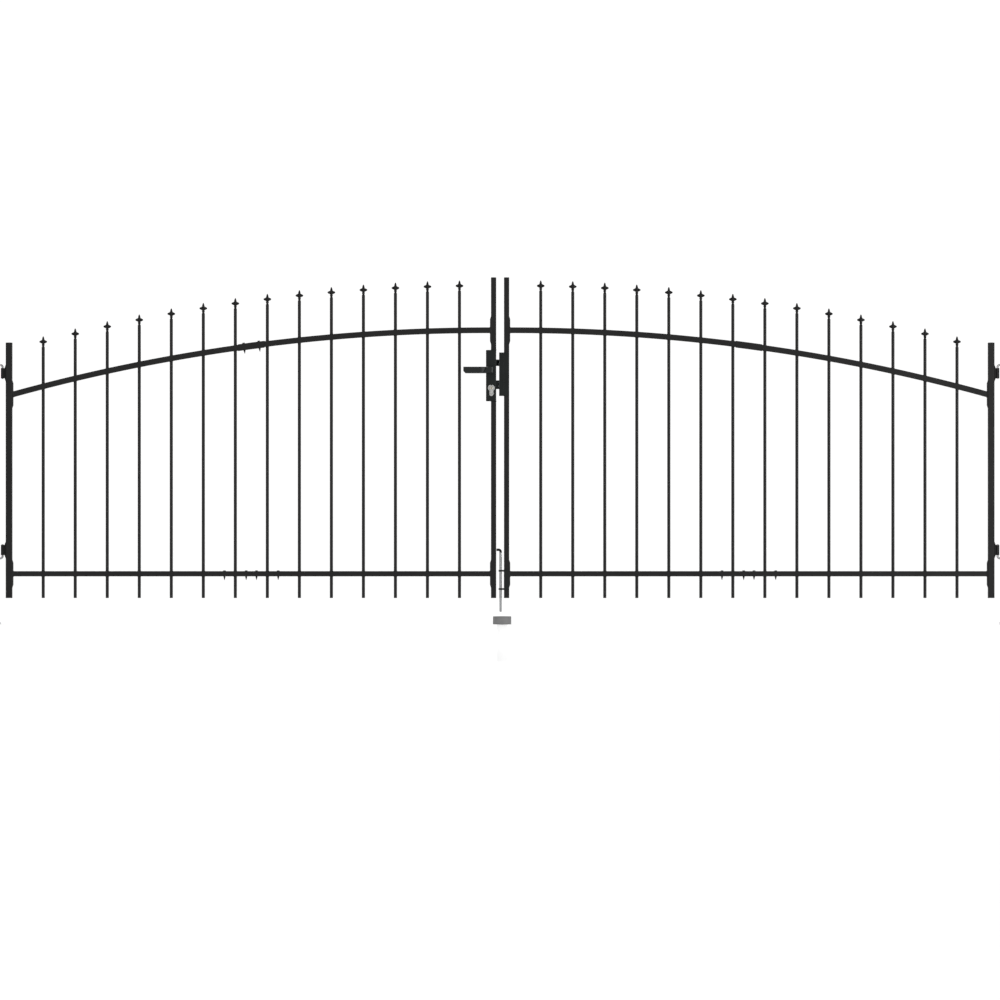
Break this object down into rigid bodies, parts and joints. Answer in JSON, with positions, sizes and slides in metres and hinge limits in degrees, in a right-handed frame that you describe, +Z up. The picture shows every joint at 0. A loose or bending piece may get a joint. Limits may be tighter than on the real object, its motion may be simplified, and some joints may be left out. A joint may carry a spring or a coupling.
{
  "type": "double driveway gate",
  "caption": "Double driveway gate with two arched, barred steel leaves on square posts, pintle hinges, a lever lock, a keep, a drop bolt and a ground socket.",
  "frame": {"origin": "middle of the underside of the left post's base plate, on the ground", "axes": "+Z up, +X from the left post to the right post along the gate, +Y to the back, the side that both leaves open to"},
  "size_m": [4.238, 0.17, 1.538],
  "materials": {
    "black_powder_coat": "satin",
    "black_cast_steel": "satin",
    "black_plastic": "matte",
    "lock_black": "satin",
    "blackened_screw": "satin",
    "zinc_plate": "satin",
    "bright_zinc": "satin",
    "satin_nickel": "satin",
    "brass_plug": "satin",
    "grey_plastic": "matte",
    "white_plastic": "satin"
  },
  "bodies": {
    "posts": {"left_post": "black_powder_coat", "left_post_base": "black_powder_coat", "left_post_cap": "black_powder_coat", "left_pintles": "zinc_plate", "right_post": "black_powder_coat", "right_post_base": "black_powder_coat", "right_post_cap": "black_powder_coat", "right_pintles": "zinc_plate", "socket_collar": "grey_plastic", "socket_tube": "white_plastic"},
    "left_leaf": {"left_hinge_stile": "black_powder_coat", "left_lock_stile": "black_powder_coat", "left_stile_caps": "black_plastic", "left_top_rail": "black_powder_coat", "left_bottom_rail": "black_powder_coat", "left_end_plates": "black_powder_coat", "left_splice_sleeves": "black_powder_coat", "left_splice_screws": "blackened_screw", "left_bars": "black_powder_coat", "left_finials": "black_cast_steel", "left_hinge_eyes": "black_powder_coat", "lock_case": "lock_black", "cylinder_guards": "satin_nickel", "lock_cylinder": "satin_nickel"},
    "right_leaf": {"right_hinge_stile": "black_powder_coat", "right_lock_stile": "black_powder_coat", "right_stile_caps": "black_plastic", "right_top_rail": "black_powder_coat", "right_bottom_rail": "black_powder_coat", "right_end_plates": "black_powder_coat", "right_splice_sleeves": "black_powder_coat", "right_splice_screws": "blackened_screw", "right_bars": "black_powder_coat", "right_finials": "black_cast_steel", "right_hinge_eyes": "black_powder_coat", "keep": "lock_black", "bolt_bracket": "lock_black"},
    "levers": {"front_lever": "lock_black", "back_lever": "lock_black"},
    "latch": {"latch_bolt": "lock_black"},
    "deadbolt": {"dead_bolt": "lock_black"},
    "key": {"key_plug": "brass_plug"},
    "drop_bolt": {"drop_bolt": "bright_zinc"}
  },
  "joints": [
    {"name": "left_leaf_swing", "type": "hinge", "parent": "posts", "child": "left_leaf", "pos_m": [0.07, 0, 0.65], "axis": [0, 0, 1], "range_deg": [0, 95]},
    {"name": "right_leaf_swing", "type": "hinge", "parent": "posts", "child": "right_leaf", "pos_m": [4.05, 0, 0.65], "axis": [0, 0, -1], "range_deg": [0, 95]},
    {"name": "lever_turn", "type": "hinge", "parent": "left_leaf", "child": "levers", "pos_m": [2.025, 0, 1.017], "axis": [0, -1, 0], "range_deg": [0, 40], "stiffness_Nm_per_rad": 1.2, "springref_deg": -20.05},
    {"name": "latch_slide", "type": "slide", "parent": "left_leaf", "child": "latch", "axis": [-1, 0, 0], "range_m": [0, 0.0106]},
    {"name": "key_turn", "type": "hinge", "parent": "left_leaf", "child": "key", "pos_m": [2.025, 0, 0.945], "axis": [0, -1, 0], "range_deg": [-360, 360]},
    {"name": "deadbolt_slide", "type": "slide", "parent": "left_leaf", "child": "deadbolt", "axis": [-1, 0, 0], "range_m": [-0.0115, 0.0115]},
    {"name": "drop_bolt_slide", "type": "slide", "parent": "right_leaf", "child": "drop_bolt", "axis": [0, 0, 1], "range_m": [-0.07, 0]}
  ],
  "couplings": [
    {"joint": "latch_slide", "follows": "lever_turn", "m_per_rad": 0.01504},
    {"joint": "deadbolt_slide", "follows": "key_turn", "m_per_rad": 0.001671}
  ]
}
